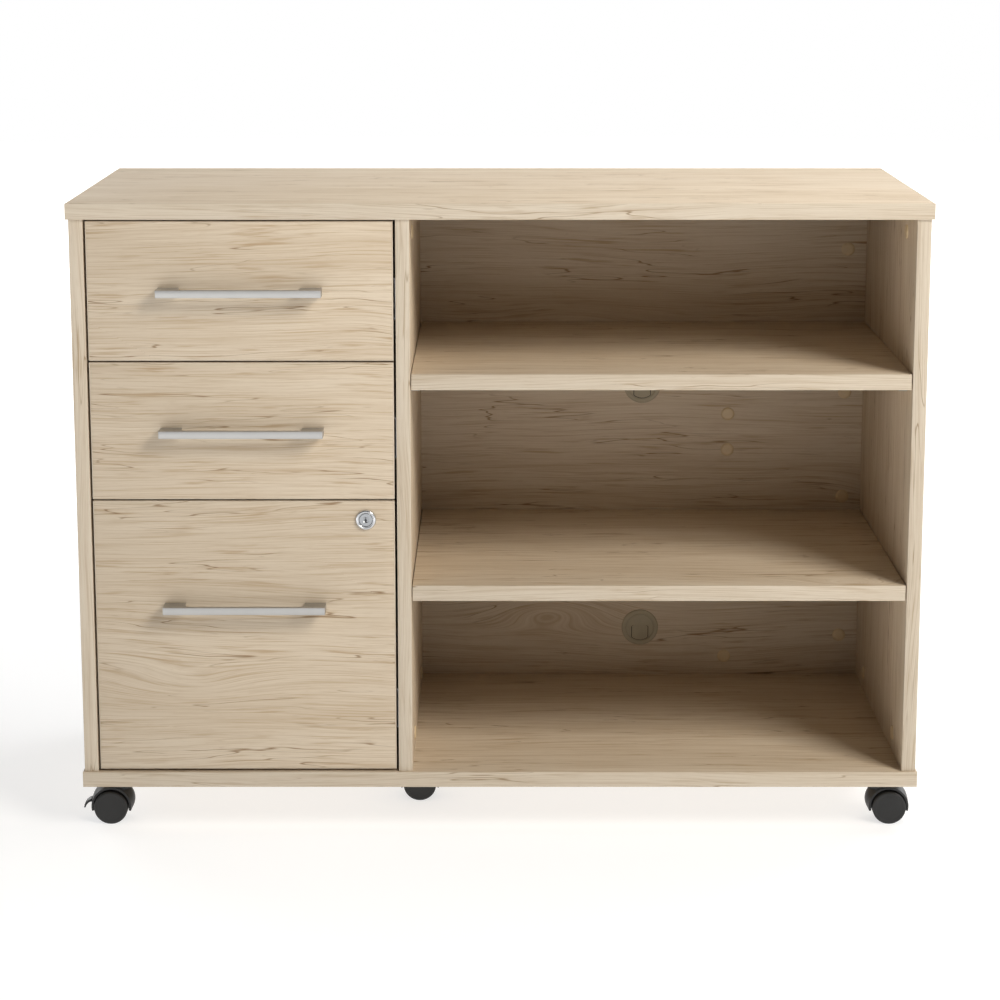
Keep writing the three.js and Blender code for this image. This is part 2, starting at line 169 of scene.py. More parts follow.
# Linear colours of the printed grain, from the palest line to the darkest fleck
FACE_PALETTE = {
    "pale": (0.690, 0.592, 0.466, 1),
    "body": (0.590, 0.484, 0.358, 1),
    "streak": (0.465, 0.338, 0.208, 1),
    "patch": (0.405, 0.275, 0.148, 1),
    "fleck": (0.270, 0.172, 0.088, 1),
}
EDGE_PALETTE = {
    "pale": (0.675, 0.592, 0.480, 1),
    "body": (0.605, 0.516, 0.402, 1),
    "streak": (0.490, 0.385, 0.268, 1),
    "patch": (0.430, 0.320, 0.200, 1),
    "fleck": (0.300, 0.210, 0.122, 1),
}


def woodgrain(name, palette, swirl):
    """Printed wood laminate. The grain map's first number runs along the grain, the second across."""
    g = Graph(name, roughness=0.6)
    g.shader.inputs["Specular IOR Level"].default_value = 0.40
    grain_map = g.node("ShaderNodeUVMap", uv_map=GRAIN_MAP).outputs[0]
    along, across, _ = g.parts(grain_map)

    def stretched(length, width, line, seed):
        """A noise whose marks are about length along the grain and width across it, in metres."""
        return g.vector(g.math("MULTIPLY", along, 1 / length), g.math("MULTIPLY", line, 1 / width), seed)

    # The lines wander slowly, and swing round a knot in some cells of a coarse pattern.
    knots = g.node("ShaderNodeTexVoronoi", feature="F1", voronoi_dimensions="3D")
    g.plug(knots.inputs["Vector"], stretched(0.40, 0.120, across, 3.0))
    knots.inputs["Scale"].default_value = 1.0
    chance, lean, _ = g.parts(knots.outputs["Color"])
    has_knot = g.math("GREATER_THAN", chance, 0.58)
    spread = g.math("MULTIPLY", knots.outputs["Distance"], -26.0)
    swell = g.math("EXPONENT", g.math("MULTIPLY", knots.outputs["Distance"], spread))
    side = g.math("SUBTRACT", g.math("MULTIPLY", g.math("GREATER_THAN", lean, 0.5), 2.0), 1.0)
    swing = g.math("MULTIPLY", g.math("MULTIPLY", swell, has_knot), g.math("MULTIPLY", side, swirl))
    wander = g.math("SUBTRACT", g.noise(stretched(0.42, 0.20, across, 11.0), detail=1.5), 0.5)
    ripple = g.math("SUBTRACT", g.noise(stretched(0.080, 0.040, across, 17.0), detail=1.5), 0.5)
    bend = g.math("ADD", g.math("MULTIPLY", wander, 0.040), g.math("MULTIPLY", ripple, 0.0022))
    line = g.math("ADD", across, g.math("ADD", swing, bend))

    bands = g.noise(stretched(0.90, 0.040, line, 1.0), detail=2.0)
    streaks = g.noise(stretched(0.26, 0.0058, line, 5.0), detail=3.0, roughness=0.65)
    fine = g.noise(stretched(0.11, 0.0011, line, 9.0), detail=1.5)
    fibres = g.noise(stretched(0.016, 0.0006, line, 13.0), detail=2.0)
    patches = g.noise(stretched(0.080, 0.0048, line, 21.0), detail=2.5, roughness=0.6)
    where = g.noise(stretched(0.16, 0.030, line, 31.0), detail=1.5)
    contour = g.noise(stretched(0.24, 0.015, line, 27.0), detail=2.0)
    flecks = g.noise(stretched(0.020, 0.0010, line, 37.0), detail=1.0)

    colour = g.mix(g.ramp(bands, 0.30, 0.70, 0.25, 0.85), palette["pale"], palette["body"])
    colour = g.mix(g.ramp(streaks, 0.48, 0.76, 0.0, 0.60), colour, palette["streak"])
    colour = g.mix(g.ramp(streaks, 0.48, 0.24, 0.0, 0.50), colour, palette["pale"])
    colour = g.mix(g.ramp(fine, 0.50, 0.74, 0.0, 0.75), colour, palette["streak"])
    colour = g.mix(g.ramp(fine, 0.50, 0.26, 0.0, 0.65), colour, palette["pale"])
    colour = g.mix(g.ramp(fibres, 0.52, 0.82, 0.0, 0.35), colour, palette["patch"])
    patch_share = g.math("MULTIPLY", g.ramp(patches, 0.53, 0.72, 0.0, 0.68), g.ramp(where, 0.32, 0.56))
    colour = g.mix(patch_share, colour, palette["patch"])
    distance = g.math("ABSOLUTE", g.math("SUBTRACT", contour, 0.5))
    hairline = g.math("MULTIPLY", g.ramp(distance, 0.010, 0.0), g.ramp(where, 0.47, 0.60, 0.0, 0.90))
    colour = g.mix(hairline, colour, palette["fleck"])
    fleck_share = g.math("MULTIPLY", g.ramp(flecks, 0.68, 0.82, 0.0, 0.70), g.ramp(where, 0.44, 0.64))
    colour = g.mix(fleck_share, colour, palette["fleck"])
    heart = g.math("MULTIPLY", g.ramp(knots.outputs["Distance"], 0.060, 0.010, 0.0, 0.55), has_knot)
    colour = g.mix(heart, colour, palette["patch"])
    g.plug(g.shader.inputs["Base Color"], colour)
    g.plug(g.shader.inputs["Roughness"], g.ramp(streaks, 0.2, 0.8, 0.58, 0.66))
    g.bump(g.math("ADD", fine, fibres), distance=0.03 * MM, strength=0.5)
    return g.material


def drawer_board():
    """Thin foil with a faint straight grain, on the drawer boxes."""
    g = Graph("drawer_board", roughness=0.58)
    x, y, z = g.parts(g.own_place())
    flattened = [g.math("MULTIPLY", value, count) for value, count in ((x, 14), (y, 9), (z, 420))]
    lines = g.noise(g.vector(*flattened), detail=3)
    mottle = g.noise(g.own_place(), scale=18, detail=2)
    pale, body, blotch = (0.700, 0.625, 0.500, 1), (0.610, 0.525, 0.400, 1), (0.66, 0.60, 0.50, 1)
    colour = g.mix(g.ramp(lines, 0.35, 0.75), pale, body)
    colour = g.mix(g.ramp(mottle, 0.3, 0.7, 0, 0.3), colour, blotch)
    g.plug(g.shader.inputs["Base Color"], colour)
    g.bump(lines, distance=0.03 * MM, strength=0.4)
    return g.material


def metal(name, colour, roughness, scratch_length, scratch_width, spread=0.08, depth=0.004):
    """Metal with fine marks along X, as brushing or rolling leaves them."""
    g = Graph(name, roughness=roughness, metallic=1.0)
    x, y, z = g.parts(g.own_place())
    rows_y, rows_z = (g.math("MULTIPLY", value, 1 / scratch_width) for value in (y, z))
    across = g.math("ADD", rows_y, rows_z)
    along = g.math("MULTIPLY", x, 1 / scratch_length)
    marks = g.noise(g.vector(along, across), detail=3, roughness=0.6)
    cloud = g.noise(g.own_place(), scale=55, detail=3)
    darker = tuple(0.96 * part for part in colour[:3]) + (1,)
    g.plug(g.shader.inputs["Base Color"], g.mix(g.ramp(cloud, 0.3, 0.7), colour, darker))
    smooth, rough = roughness - spread / 2, roughness + spread / 2
    g.plug(g.shader.inputs["Roughness"], g.ramp(marks, 0.25, 0.75, smooth, rough))
    g.bump(marks, distance=depth * MM, strength=0.6)
    return g.material


def plastic(name, light, dark, roughness, texture_size, depth):
    """Moulded plastic with a spark-eroded texture."""
    g = Graph(name, roughness=roughness)
    texture = g.noise(g.own_place(), scale=1 / texture_size, detail=2)
    cloud = g.noise(g.own_place(), scale=40, detail=3)
    g.plug(g.shader.inputs["Base Color"], g.mix(g.ramp(cloud, 0.3, 0.7), light, dark))
    g.plug(g.shader.inputs["Roughness"], g.ramp(cloud, 0.3, 0.7, roughness - 0.05, roughness + 0.05))
    g.bump(texture, distance=depth * MM, strength=0.5)
    return g.material


WOOD = woodgrain("woodgrain_laminate", FACE_PALETTE, swirl=0.036)
EDGE_WOOD = woodgrain("woodgrain_edge_band", EDGE_PALETTE, swirl=0.003)
FOIL = drawer_board()
NICKEL = metal("satin_nickel", (0.470, 0.463, 0.450, 1), 0.42, 0.030, 0.00035, spread=0.04, depth=0.001)
CHROME = metal("chrome", (0.620, 0.628, 0.640, 1), 0.12, 0.004, 0.0006, spread=0.05, depth=0.001)
LOCK_FACE = metal("satin_chrome", (0.360, 0.372, 0.385, 1), 0.32, 0.012, 0.0004)
ZINC = metal("zinc_steel", (0.560, 0.575, 0.590, 1), 0.36, 0.008, 0.0030, spread=0.16)
BLACK = plastic("black_plastic", (0.012, 0.012, 0.012, 1), (0.009, 0.009, 0.009, 1), 0.40, 0.0009, 0.02)
TREAD = plastic("wheel_nylon", (0.011, 0.011, 0.0107, 1), (0.009, 0.009, 0.009, 1), 0.50, 0.0007, 0.02)
OLIVE = plastic("grommet_plastic", (0.420, 0.365, 0.255, 1), (0.385, 0.335, 0.235, 1), 0.50, 0.0008, 0.02)
CAP = plastic("cap_plastic", (0.640, 0.500, 0.310, 1), (0.600, 0.465, 0.285, 1), 0.42, 0.0008, 0.02)


# ------------------------------------------------------------------ shapes


def placed(axis, a, b, along):
    """A point from its distance along an axis and its two other coordinates, in X, Y, Z order."""
    point = [a, b]
    point.insert(axis, along)
    return Vector(point)


def finished(bm):
    """A bmesh made into a mesh, with its normals outwards and its soft edges smooth."""
    bmesh.ops.recalc_face_normals(bm, faces=bm.faces)
    mesh = bpy.data.meshes.new("shape")
    bm.to_mesh(mesh)
    bm.free()
    mesh.polygons.foreach_set("use_smooth", [True] * len(mesh.polygons))
    mesh.set_sharp_from_angle(angle=SMOOTH_ANGLE)
    return mesh


def box(low, high, rounding, chosen=None, segments=2):
    """A box with rounded edges: all of them, or those that chosen says yes to."""
    bm = bmesh.new()
    bmesh.ops.create_cube(bm, size=1)
    for vert in bm.verts:
        vert.co = [(a + b) / 2 + c * (b - a) for a, b, c in zip(low, high, vert.co)]
    edges = [edge for edge in bm.edges if chosen is None or chosen(edge)]
    bmesh.ops.bevel(bm, geom=edges, offset=rounding, segments=segments, profile=0.5, affect="EDGES")
    return finished(bm)


def filleted(corners, closed=True, steps=5):
    """The points of an outline whose corners, each (a, b, radius), are rounded."""
    points = []
    for index, (a, b, radius) in enumerate(corners):
        here = Vector((a, b))
        if radius == 0 or (not closed and index in (0, len(corners) - 1)):
            points.append(here)
            continue
        before = (Vector(corners[index - 1][:2]) - here).normalized()
        after = (Vector(corners[(index + 1) % len(corners)][:2]) - here).normalized()
        half = before.angle(after) / 2
        centre = here + (before + after).normalized() * radius / math.sin(half)
        start = here + before * radius / math.tan(half) - centre
        end = here + after * radius / math.tan(half) - centre
        sweep = start.angle(end)
        for step in range(steps + 1):
            share = step / steps
            turn = start * math.sin((1 - share) * sweep) + end * math.sin(share * sweep)
            points.append(centre + turn / math.sin(sweep))
    return points


def plate(outline, near, far, axis, rounding=0.0, segments=2):
    """An outline drawn across an axis and extruded along it, with the edges of both faces rounded."""
    bm = bmesh.new()
    bottom = bm.faces.new([bm.verts.new(placed(axis, a, b, near)) for a, b in outline])
    made = bmesh.ops.extrude_face_region(bm, geom=[bottom])
    for item in made["geom"]:
        if isinstance(item, bmesh.types.BMVert):
            item.co[axis] = far
    if rounding:
        rims = [edge for edge in bm.edges if edge.verts[0].co[axis] == edge.verts[1].co[axis]]
        bmesh.ops.bevel(bm, geom=rims, offset=rounding, segments=segments, profile=0.5, affect="EDGES")
    return finished(bm)


def turned(profile, centre, axis, segments=SEGMENTS, ring=False):
    """A body turned about an axis through centre, from pairs of radius and distance along the axis.
    The profile starts and ends on the axis, or ring joins its end to its start."""
    bm = bmesh.new()
    offset = list(centre)
    del offset[axis]
    rings = []
    for radius, along in profile:
        angles = [0.0] if radius == 0 else [math.tau * k / segments for k in range(segments)]
        spots = [(offset[0] + radius * math.cos(t), offset[1] + radius * math.sin(t)) for t in angles]
        rings.append([bm.verts.new(placed(axis, a, b, centre[axis] + along)) for a, b in spots])
    pairs = list(zip(rings, rings[1:]))
    if ring:
        pairs.append((rings[-1], rings[0]))
    for first, second in pairs:
        for k in range(segments):
            corners = [first[k % len(first)], first[(k + 1) % len(first)]]
            corners += [second[(k + 1) % len(second)], second[k % len(second)]]
            bm.faces.new(list(dict.fromkeys(corners)))
    return finished(bm)


def cylinder(radius, near, far, centre, axis, segments=SEGMENTS):
    """A plain cylinder whose ends lie at two distances along an axis, counted from centre."""
    return turned([(0, near), (radius, near), (radius, far), (0, far)], centre, axis, segments)


def joined(*meshes):
    """Several closed meshes as one mesh."""
    bm = bmesh.new()
    for mesh in meshes:
        bm.from_mesh(mesh)
        bpy.data.meshes.remove(mesh)
    return finished(bm)


def carved(mesh, *cutters):
    """A mesh less its cutters."""
    collection = bpy.context.scene.collection
    blank = bpy.data.objects.new("blank", mesh)
    collection.objects.link(blank)
    tools = [bpy.data.objects.new("tool", cutter) for cutter in cutters]
    for tool in tools:
        collection.objects.link(tool)
        modifier = blank.modifiers.new("cut", "BOOLEAN")
        modifier.object = tool
        modifier.solver = "EXACT"
    evaluated = blank.evaluated_get(bpy.context.evaluated_depsgraph_get())
    result = bpy.data.meshes.new_from_object(evaluated)
    for scrap in [blank, *tools]:
        bpy.data.objects.remove(scrap)
    bm = bmesh.new()
    bm.from_mesh(result)
    return finished(bm)


def moved(mesh, matrix):
    mesh.transform(matrix)
    return mesh


def piece(name, mesh, material, body, replaces=()):
    """A mesh as a piece that rides on a body."""
    mesh.name = name
    mesh.materials.clear()
    mesh.materials.append(material)
    made = bpy.data.objects.new(name, mesh)
    bpy.context.scene.collection.objects.link(made)
    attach(made, body)
    if replaces:
        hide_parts(*replaces)
    return made


# ------------------------------------------------------------------ boards


def lay_grain(mesh, grain_axis, seed):
    """Writes the grain map of a straight board: along the grain, then across it, in metres."""
    layer = mesh.uv_layers.new(name=GRAIN_MAP)
    for face in mesh.polygons:
        normal_axis = max(range(3), key=lambda axis: abs(face.normal[axis]))
        across_axes = [axis for axis in range(3) if axis not in (normal_axis, grain_axis)]
        along_axis = grain_axis if normal_axis != grain_axis else across_axes[-1]
        across_axis = across_axes[0]
        shift = 0.171 * normal_axis + (0.093 if face.normal[normal_axis] > 0 else 0.0)
        for loop in face.loop_indices:
            point = mesh.vertices[mesh.loops[loop].vertex_index].co
            along = point[along_axis] + 1.73 * seed
            across = point[across_axis] + 0.61 * seed + shift
            layer.data[loop].uv = (along, across)


def board(node, body, grain_axis, banded, seed, cutters=()):
    """A laminated board in place of a CAD board, with a separate edge band on each banded side."""
    low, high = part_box(node)
    for number, (side, axis, sign) in enumerate(banded):
        strip_low, strip_high = low.copy(), high.copy()
        outer = low[axis] if sign < 0 else high[axis]
        if sign < 0:
            strip_high[axis] = outer + EDGE_BAND
            low[axis] = strip_high[axis] + BAND_JOINT
        else:
            strip_low[axis] = outer - EDGE_BAND
            high[axis] = strip_low[axis] - BAND_JOINT

        def on_outer_face(edge, axis=axis, outer=outer):
            return all(abs(vert.co[axis] - outer) < BAND_JOINT for vert in edge.verts)

        strip = box(strip_low, strip_high, BAND_ROUNDING, on_outer_face, segments=3)
        spans = [b - a for a, b in zip(strip_low, strip_high)]
        lay_grain(strip, spans.index(max(spans)), seed + 0.37 * (number + 1))
        piece(f"{node}_{side}_band", strip, EDGE_WOOD, body)
    core = box(low, high, BOARD_ROUNDING)
    if cutters:
        core = carved(core, *cutters)
    lay_grain(core, grain_axis, seed)
    return piece(f"{node}_board", core, WOOD, body, [node])


FRONT_EDGE = ("front", Y, -1)
REAR_EDGE = ("rear", Y, 1)
LEFT_EDGE = ("left", X, -1)
RIGHT_EDGE = ("right", X, 1)
LOWER_EDGE = ("lower", Z, -1)
UPPER_EDGE = ("upper", Z, 1)

GROMMET_HOLE_RADIUS = 19.2 * MM
LOCK_HOLE_RADIUS = 8.6 * MM
LOCK_NUT = 12.5 * MM
MORTISE_DEPTH = 8 * MM


def bore(radius, centre, near, far):
    """A cutter for a round hole along Y."""
    return cylinder(radius, near - centre[Y], far - centre[Y], centre, Y, FINE_SEGMENTS)


def middle_of(node):
    low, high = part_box(node)
    return (low + high) / 2


def make_boards():
    around = (FRONT_EDGE, LEFT_EDGE, RIGHT_EDGE, REAR_EDGE)
    board("top_panel", "carcass", X, around, seed=1)
    board("bottom_panel", "carcass", X, around, seed=2)
    board("left_side_panel", "carcass", Z, (FRONT_EDGE, REAR_EDGE), seed=3)
    board("right_side_panel", "carcass", Z, (FRONT_EDGE, REAR_EDGE), seed=4)
    board("upper_shelf", "carcass", X, (FRONT_EDGE,), seed=5)
    board("lower_shelf", "carcass", X, (FRONT_EDGE,), seed=6)

    # The cam's swing sets how tall its mortise in the divider is.
    divider_low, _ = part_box("divider_panel")
    cam_low, cam_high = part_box("lock_cam")
    axis_z = middle_of("lock_plug").z
    clear = 2.5 * MM
    mortise = box(
        (divider_low.x - clear, cam_low.y - clear, axis_z - 20 * MM),
        (divider_low.x + MORTISE_DEPTH, cam_high.y + clear, axis_z + 7.5 * MM),
        0.2 * MM,
    )
    board("divider_panel", "carcass", Z, (FRONT_EDGE,), seed=7, cutters=[mortise])

    back_low, back_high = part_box("back_panel")
    holes = []
    for name in GROMMETS:
        centre = middle_of(f"{name}_grommet_sleeve")
        holes.append(bore(GROMMET_HOLE_RADIUS, centre, back_low.y - clear, back_high.y + clear))
    board("back_panel", "carcass", X, (), seed=8, cutters=holes)

    for number, name in enumerate(DRAWERS):
        node = f"{name}_drawer_front"
        low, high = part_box(node)
        sides = (LEFT_EDGE, RIGHT_EDGE, LOWER_EDGE, UPPER_EDGE)
        lock_hole = [bore(LOCK_HOLE_RADIUS, middle_of("lock_plug"), low.y - clear, high.y + clear)]
        cutters = lock_hole if name == "file" else ()
        board(node, f"{name}_drawer", X, sides, seed=9 + number, cutters=cutters)


def dress(node, material, rounding=0.0):
    """A CAD node that stays, with a better material and rounded edges."""
    kept = frame["nodes"][node]
    kept.data.materials.clear()
    kept.data.materials.append(material)
    if rounding:
        bevel = kept.modifiers.new("rounded edges", "BEVEL")
        bevel.width = rounding
        bevel.segments = 2
        bevel.limit_method = "ANGLE"


def make_drawer_boxes():
    for name in DRAWERS:
        for part in ("left_side", "right_side", "back", "bottom"):
            dress(f"{name}_drawer_{part}", FOIL, 0.4 * MM)


# ------------------------------------------------------------------ drawer hardware

HANDLE_BAR = 6 * MM
HANDLE_FOOT = 23 * MM
HANDLE_ROUNDING = 0.3 * MM


def screw_head(centre, axis, direction, radius, height):
    """A pan head with a cross recess, standing on centre and facing along an axis."""
    profile = [(0, 0), (radius, 0), (radius, 0.35 * height), (0.82 * radius, 0.80 * height)]
    profile += [(0.55 * radius, height), (0, height)]
    head = turned([(r, direction * a) for r, a in profile], centre, axis, SMALL_SEGMENTS)
    cutters = []
    others = [each for each in (X, Y, Z) if each != axis]
    for long_axis in others:
        half = Vector((0.16 * radius,) * 3)
        half[long_axis] = 0.62 * radius
        half[axis] = 0.45 * height
        middle = Vector(centre)
        middle[axis] += direction * height
        cutters.append(box(middle - half, middle + half, 0.02 * MM))
    return carved(head, *cutters)


def make_handle(name):
    node = f"{name}_drawer_handle"
    low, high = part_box(node)
    corners = [
        (low.x, high.y, 0),
        (low.x, low.y, 0.5 * MM),
        (high.x, low.y, 0.5 * MM),
        (high.x, high.y, 0),
        (high.x - HANDLE_FOOT, high.y, 2.0 * MM),
        (high.x - HANDLE_FOOT, low.y + HANDLE_BAR, 3.0 * MM),
        (low.x + HANDLE_FOOT, low.y + HANDLE_BAR, 3.0 * MM),
        (low.x + HANDLE_FOOT, high.y, 2.0 * MM),
    ]
    bar = plate(filleted(corners), low.z, high.z, Z, HANDLE_ROUNDING)
    piece(f"{name}_handle_bar", bar, NICKEL, f"{name}_drawer", [node])

    _, front_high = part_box(f"{name}_drawer_front")
    heads = []
    for x in (low.x + HANDLE_FOOT / 2, high.x - HANDLE_FOOT / 2):
        spot = (x, front_high.y, (low.z + high.z) / 2)
        heads.append(screw_head(spot, Y, 1, 4.0 * MM, 2.2 * MM))
    piece(f"{name}_handle_screws", joined(*heads), ZINC, f"{name}_drawer")


def make_lock():
    centre = middle_of("lock_plug")
    low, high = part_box("lock_housing")
    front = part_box("file_drawer_front")[0].y
    centre.y = front
    flange = (high.x - low.x) / 2
    face, end = low.y - front, high.y - front
    inner, barrel = 7.4 * MM, 8.3 * MM
    lip = [
        (inner, 0.40 * face, 0),
        (inner + 0.25 * MM, 0.72 * face, 0.15 * MM),
        (inner + 0.75 * MM, 0.72 * face, 0.1 * MM),
        (inner + 1.5 * MM, face, 0.9 * MM),
        (flange - 0.9 * MM, 0.80 * face, 1.3 * MM),
        (flange, 0.25 * face, 0.6 * MM),
        (flange, 0, 0),
        (barrel, 0, 0),
        (barrel, end, 0.3 * MM),
        (inner, end, 0),
    ]
    ring = turned(filleted(lip, steps=6), centre, Y, FINE_SEGMENTS, ring=True)
    piece("lock_ring", ring, CHROME, "file_drawer", ["lock_housing"])

    # The nut that holds the lock sits behind the drawer front.
    front_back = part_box("file_drawer_front")[1].y
    angles = [k * math.tau / 6 for k in range(6)]
    hexagon = [(centre.x + LOCK_NUT * math.cos(t), centre.z + LOCK_NUT * math.sin(t)) for t in angles]
    nut = plate(hexagon, front_back, front_back + 1.5 * MM, Y, 0.2 * MM)
    hole = bore(barrel + 0.05 * MM, centre, front_back - MM, front_back + 3 * MM)
    piece("lock_nut", carved(nut, hole), ZINC, "file_drawer")

    plug_low, plug_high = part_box("lock_plug")
    radius = (plug_high.x - plug_low.x) / 2
    top, bottom = plug_low.y - front, plug_high.y - front
    dish = 0.45 * MM
    profile = [
        (0, top + dish, 0),
        (2.6 * MM, top + dish, 0.3 * MM),
        (3.3 * MM, top, 0.3 * MM),
        (radius, top, 0.35 * MM),
        (radius, bottom, 0.2 * MM),
        (0, bottom, 0),
    ]
    plug = turned(filleted(profile, closed=False), centre, Y, FINE_SEGMENTS)
    cutters = []
    for half_width, half_height in ((0.75 * MM, 2.9 * MM), (1.35 * MM, 1.0 * MM)):
        corner = Vector((half_width, 0, half_height))
        near, far = Vector((0, top - MM, 0)), Vector((0, top + 9 * MM, 0))
        cutters.append(box(centre - corner + near, centre + corner + far, 0.1 * MM))
    plug = carved(plug, *cutters)
    piece("lock_plug_face", plug, LOCK_FACE, "lock_core", ["lock_plug"])

    cam_low, cam_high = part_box("lock_cam")
    width = cam_high.x - cam_low.x
    left, right, bottom, top = cam_low.x, cam_high.x, cam_low.z, cam_high.z
    corners = [(left, top), (right, top), (right, bottom), (left, bottom)]
    outline = filleted([(a, b, 0.495 * width) for a, b in corners], steps=10)
    cam = plate(outline, cam_low.y, cam_high.y, Y, 0.25 * MM)
    piece("lock_cam_arm", cam, ZINC, "lock_core", ["lock_cam"])
    spot = (centre.x, cam_high.y, centre.z)
    piece("lock_cam_screw", screw_head(spot, Y, 1, 3.6 * MM, 1.5 * MM), ZINC, "lock_core")


# Slide sections, counted from the panel that they are screwed to
SLIDE_WALL = 1.2 * MM
SLIDE_LIP = 1.7 * MM
BOX_DRAWER_MEMBER = {"height": 27 * MM, "free": 5 * MM, "web": 13 * MM}


def slide_section(web, free, middle, half):
    """A channel with its web at one X and its lipped flanges ending at another."""
    way = 1 if free > web else -1
    wall = way * SLIDE_WALL
    upper = [
        (web, half, 1.6 * MM),
        (free, half, 1.4 * MM),
        (free, half - SLIDE_WALL - SLIDE_LIP, 0.4 * MM),
        (free - wall, half - SLIDE_WALL - SLIDE_LIP, 0.4 * MM),
        (free - wall, half - SLIDE_WALL, 0.3 * MM),
        (web + wall, half - SLIDE_WALL, 0.5 * MM),
    ]
    lower = [(x, -z, radius) for x, z, radius in reversed(upper)]
    return [Vector((a, b + middle)) for a, b in filleted(upper + lower, steps=3)]


def slide(name, node_box, web_x, free_x, body, replaces, screw_side=0):
    low, high = node_box
    middle, half = (low.z + high.z) / 2, (high.z - low.z) / 2
    parts = [plate(slide_section(web_x, free_x, middle, half), low.y, high.y, Y)]
    if screw_side:
        for y in (low.y + 38 * MM, high.y - 60 * MM):
            spot = (web_x + screw_side * SLIDE_WALL, y, middle)
            parts.append(screw_head(spot, X, screw_side, 3.4 * MM, 1.0 * MM))
    piece(name, joined(*parts), ZINC, body, replaces)


def ball_cage(name, low_y, x, middle, rows, radius, body):
    """Two rows of bearing balls in a bent strip, between two slide members."""
    length, pitch, strip = 78 * MM, 12 * MM, 0.35 * MM
    parts = []
    for row in (-rows, rows):
        z = middle + row
        half_width = 2.4 * MM
        low = (x - half_width, low_y, z - strip)
        parts.append(box(low, (x + half_width, low_y + length, z + strip), 0.1 * MM))
        for number in range(6):
            bm = bmesh.new()
            bmesh.ops.create_icosphere(bm, subdivisions=2, radius=radius)
            bmesh.ops.translate(bm, verts=bm.verts, vec=(x, low_y + (number + 0.75) * pitch, z))
            parts.append(finished(bm))
    piece(name, joined(*parts), ZINC, body)


def make_slides(name):
    for side, way in (("left", 1), ("right", -1)):
        node = f"{name}_cabinet_rail_{side}"
        low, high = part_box(node)
        panel, free = (low.x, high.x) if way > 0 else (high.x, low.x)
        slide(f"{node}_channel", (low, high), panel, free, "carcass", [node], screw_side=way)
        middle = (low.z + high.z) / 2
        cage_y = low.y + 12 * MM
        if name != "file":
            half = BOX_DRAWER_MEMBER["height"] / 2
            inner_box = (Vector((low.x, low.y, middle - half)), Vector((high.x, high.y, middle + half)))
            web, free = (panel + way * BOX_DRAWER_MEMBER[key] for key in ("web", "free"))
            slide(f"{name}_drawer_rail_{side}", inner_box, web, free, f"{name}_drawer", ())
            at_x = panel + way * 6.8 * MM
            ball_cage(f"{name}_ball_cage_{side}", cage_y, at_x, middle, 17.1 * MM, 2.9 * MM, "carcass")
            continue
        for member, web_side, body in (
            ("file_middle_rail", 1, "file_middle_rails"),
            ("file_drawer_rail", -1, "file_drawer"),
        ):
            node = f"{member}_{side}"
            low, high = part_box(node)
            near, far = (low.x, high.x) if way > 0 else (high.x, low.x)
            web, free = (near, far) if web_side > 0 else (far, near)
            slide(f"{node}_channel", (low, high), web, free, body, [node])
        for cage, setback, strip, radius in (("outer", 6.6, 19.1, 1.5), ("inner", 8.0, 14.9, 1.3)):
            at_x = panel + way * setback * MM
            cage_name = f"file_{cage}_cage_{side}"
            ball_cage(cage_name, cage_y, at_x, middle, strip * MM, radius * MM, "file_middle_rails")


FOLDER_SPAN = 305 * MM


def make_hanging_rails():
    """Two steel strips across the file drawer, a letter folder's 305 mm apart, hooked over its sides."""
    left_low, left_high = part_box("file_drawer_left_side")
    right_low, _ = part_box("file_drawer_right_side")
    first = left_low.y + 9 * MM
    thickness, depth, lift = 1.6 * MM, 12 * MM, 1.2 * MM
    for name, y in (("front", first), ("rear", first + FOLDER_SPAN)):
        strip = box(
            (left_high.x, y, left_high.z - depth),
            (right_low.x, y + thickness, left_high.z + lift),
            0.3 * MM,
        )
        hooks = []
        for start, way in ((left_high.x, -1), (right_low.x, 1)):
            ends = sorted((start, start + way * 9 * MM))
            hook_low = (ends[0], y - 4 * MM, left_high.z)
            hooks.append(box(hook_low, (ends[1], y + 4 * MM + thickness, left_high.z + lift), 0.3 * MM))
        piece(f"hanging_rail_{name}", joined(strip, *hooks), ZINC, "file_drawer")


# ------------------------------------------------------------------ bay hardware

TAB_HALF_WIDTH = 10.5 * MM
TAB_CUT = 0.9 * MM
HINGE_CUT = 0.05 * MM
# The black sheet behind each grommet's tab is painted shade: it darkens the slits round the tab
SHADE_STOP_THICKNESS = 0.8 * MM
SHADE_STOP_REACH = 1.3 * MM


def tab_outline(centre, top, radius, inset, top_inset):
    """A grommet's tab in X and Z: cut-back top corners, straight sides and a round foot."""
    half = TAB_HALF_WIDTH - inset
    foot = radius - inset
    corner = math.acos(half / foot)
    hook = 1.8 * MM
    edge = top - top_inset
    points = [(half, top - hook), (half - hook, edge), (hook - half, edge), (-half, top - hook)]
    steps = 16
    for step in range(steps + 1):
        angle = math.pi + corner + (math.pi - 2 * corner) * step / steps
        points.append((foot * math.cos(angle), foot * math.sin(angle)))
    return [Vector((centre.x + a, centre.z + b)) for a, b in reversed(points)]


